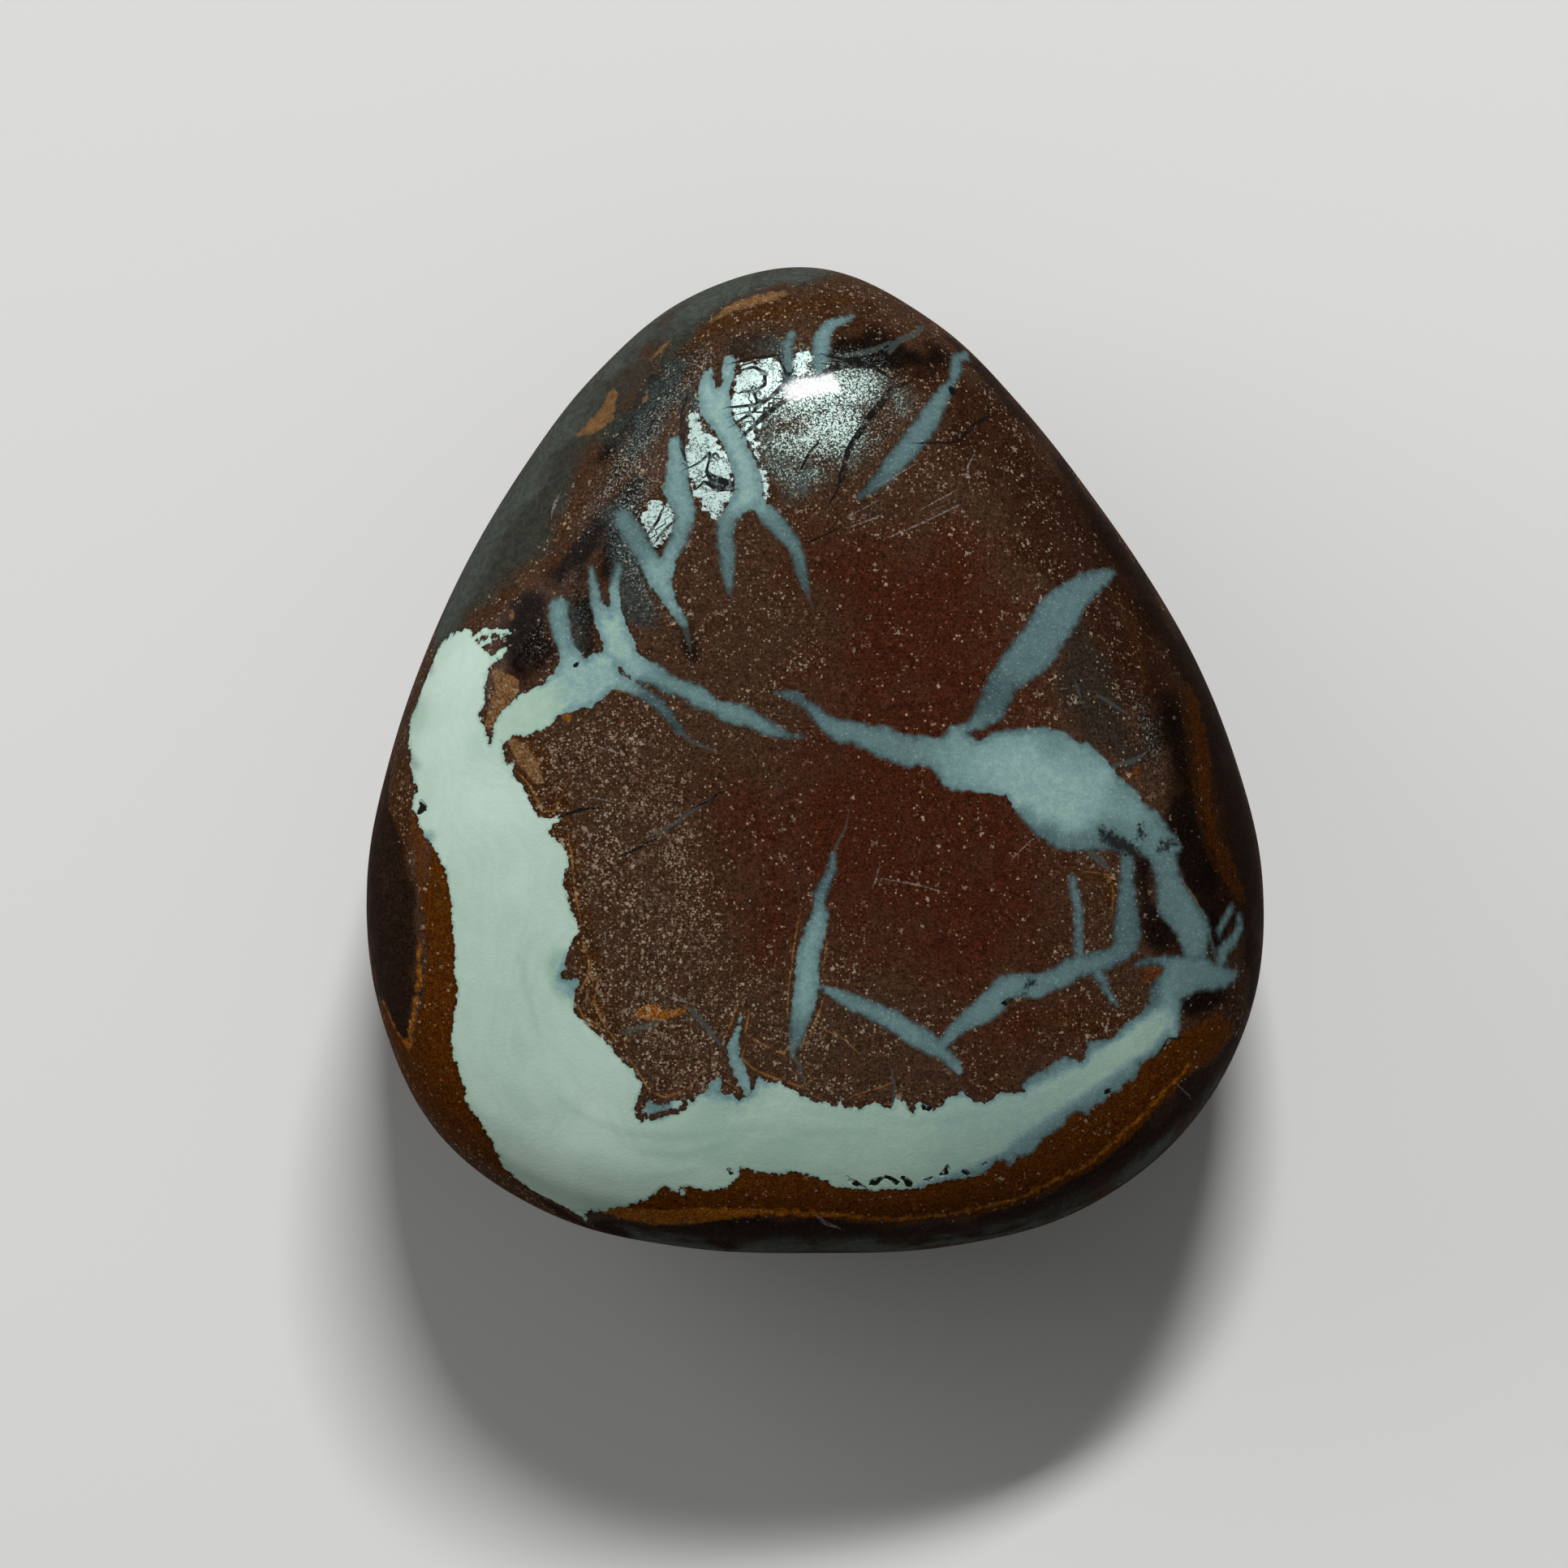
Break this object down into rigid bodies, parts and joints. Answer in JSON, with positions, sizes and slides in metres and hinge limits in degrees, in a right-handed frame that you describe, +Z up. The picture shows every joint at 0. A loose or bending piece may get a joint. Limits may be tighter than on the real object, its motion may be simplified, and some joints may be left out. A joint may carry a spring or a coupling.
{
  "type": "polished boulder opal pebble",
  "caption": "Polished egg-shaped pebble of dark ironstone seamed with pale green and blue-grey opal, resting on a small flat spot.",
  "frame": {"origin": "middle of the pebble's width and length, in the plane of the flat spot that it rests on", "axes": "+Z up through the polished face, +Y along the length towards the pointed end, +X across the width"},
  "size_m": [0.0246, 0.027, 0.0126],
  "materials": {
    "polished_ironstone": "polished ironstone with opal seams"
  },
  "bodies": {
    "root": {"opal_stone": "polished_ironstone"}
  },
  "joints": []
}
